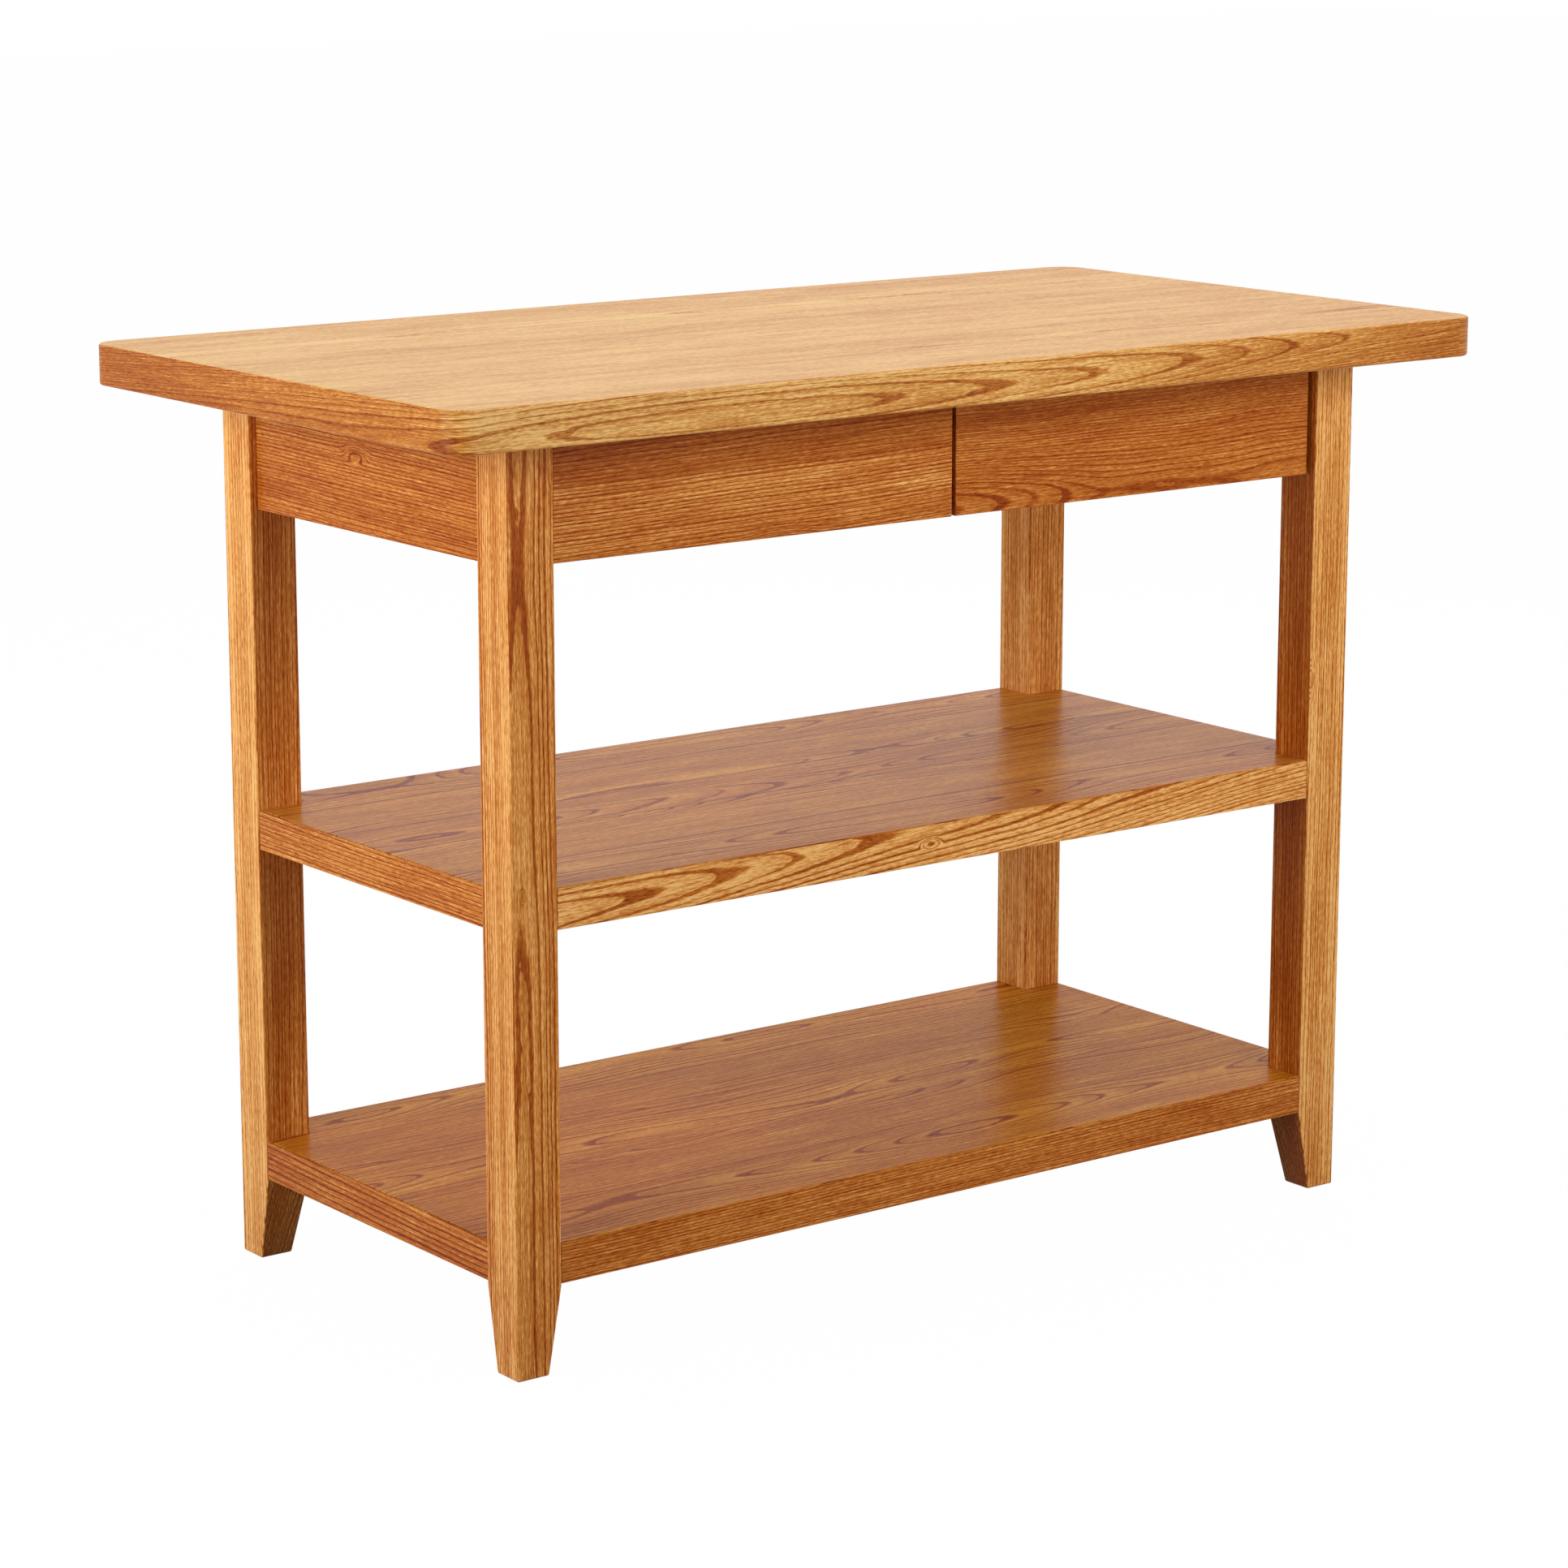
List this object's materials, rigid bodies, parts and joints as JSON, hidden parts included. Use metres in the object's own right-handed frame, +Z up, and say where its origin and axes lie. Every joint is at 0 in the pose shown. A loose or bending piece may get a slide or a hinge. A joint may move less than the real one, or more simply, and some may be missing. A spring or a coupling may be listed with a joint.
{
  "type": "kitchen island",
  "caption": "Free-standing kitchen island of stained ash: round-cornered worktop on square legs, drawers side by side under one long side, open shelves below.",
  "frame": {"origin": "on the floor under the middle of the worktop", "axes": "+X along the long side to the right as seen from the drawers, -Y the way the drawers open, +Z up"},
  "size_m": [1.2, 0.626, 0.888],
  "materials": {
    "ash_worktop": "honey-stained ash, satin lacquer",
    "ash_frame": "honey-stained ash, satin lacquer",
    "ash_shelf": "honey-stained ash, satin lacquer",
    "ash_drawer_front": "honey-stained ash, satin lacquer",
    "inner_frame_wood": "planed ash, thin lacquer",
    "drawer_box_wood": "sanded poplar",
    "birch_plywood": "sanded birch plywood",
    "zinc_steel": "rolled steel, zinc plated"
  },
  "bodies": {
    "frame": {"tabletop": "ash_worktop", "leg_front_left": "ash_frame", "leg_front_right": "ash_frame", "leg_back_left": "ash_frame", "leg_back_right": "ash_frame", "apron_left": "ash_frame", "apron_right": "ash_frame", "apron_back": "ash_frame", "front_top_rail": "inner_frame_wood", "drawer_divider": "inner_frame_wood", "slide_packer_left": "inner_frame_wood", "slide_packer_right": "inner_frame_wood", "top_bracket_left": "zinc_steel", "top_bracket_right": "zinc_steel", "top_bracket_back_left": "zinc_steel", "top_bracket_back_right": "zinc_steel", "mid_shelf_panel": "ash_shelf", "mid_shelf_rail_front": "ash_shelf", "mid_shelf_rail_back": "ash_shelf", "mid_shelf_rail_left": "ash_shelf", "mid_shelf_rail_right": "ash_shelf", "mid_shelf_brace_front_left": "inner_frame_wood", "mid_shelf_brace_front_right": "inner_frame_wood", "mid_shelf_brace_back_left": "inner_frame_wood", "mid_shelf_brace_back_right": "inner_frame_wood", "low_shelf_panel": "ash_shelf", "low_shelf_rail_front": "ash_shelf", "low_shelf_rail_back": "ash_shelf", "low_shelf_rail_left": "ash_shelf", "low_shelf_rail_right": "ash_shelf", "low_shelf_brace_front_left": "inner_frame_wood", "low_shelf_brace_front_right": "inner_frame_wood", "low_shelf_brace_back_left": "inner_frame_wood", "low_shelf_brace_back_right": "inner_frame_wood", "left_outer_slide_cabinet": "zinc_steel", "left_inner_slide_cabinet": "zinc_steel", "right_outer_slide_cabinet": "zinc_steel", "right_inner_slide_cabinet": "zinc_steel"},
    "left_drawer": {"left_drawer_front": "ash_drawer_front", "left_drawer_box_front": "drawer_box_wood", "left_drawer_box_back": "drawer_box_wood", "left_drawer_side_left": "drawer_box_wood", "left_drawer_side_right": "drawer_box_wood", "left_drawer_bottom": "birch_plywood", "left_outer_slide_drawer": "zinc_steel", "left_inner_slide_drawer": "zinc_steel"},
    "left_slide_middle": {"left_outer_slide_middle": "zinc_steel", "left_inner_slide_middle": "zinc_steel"},
    "right_drawer": {"right_drawer_front": "ash_drawer_front", "right_drawer_box_front": "drawer_box_wood", "right_drawer_box_back": "drawer_box_wood", "right_drawer_side_left": "drawer_box_wood", "right_drawer_side_right": "drawer_box_wood", "right_drawer_bottom": "birch_plywood", "right_outer_slide_drawer": "zinc_steel", "right_inner_slide_drawer": "zinc_steel"},
    "right_slide_middle": {"right_outer_slide_middle": "zinc_steel", "right_inner_slide_middle": "zinc_steel"}
  },
  "joints": [
    {"name": "left_drawer_slide", "type": "slide", "parent": "frame", "child": "left_drawer", "axis": [0, -1, 0], "range_m": [0, 0.33]},
    {"name": "left_middle_slide", "type": "slide", "parent": "frame", "child": "left_slide_middle", "axis": [0, -1, 0], "range_m": [0, 0.165]},
    {"name": "right_drawer_slide", "type": "slide", "parent": "frame", "child": "right_drawer", "axis": [0, -1, 0], "range_m": [0, 0.33]},
    {"name": "right_middle_slide", "type": "slide", "parent": "frame", "child": "right_slide_middle", "axis": [0, -1, 0], "range_m": [0, 0.165]}
  ],
  "couplings": [
    {"joint": "left_middle_slide", "follows": "left_drawer_slide", "ratio": 0.5},
    {"joint": "right_middle_slide", "follows": "right_drawer_slide", "ratio": 0.5}
  ]
}
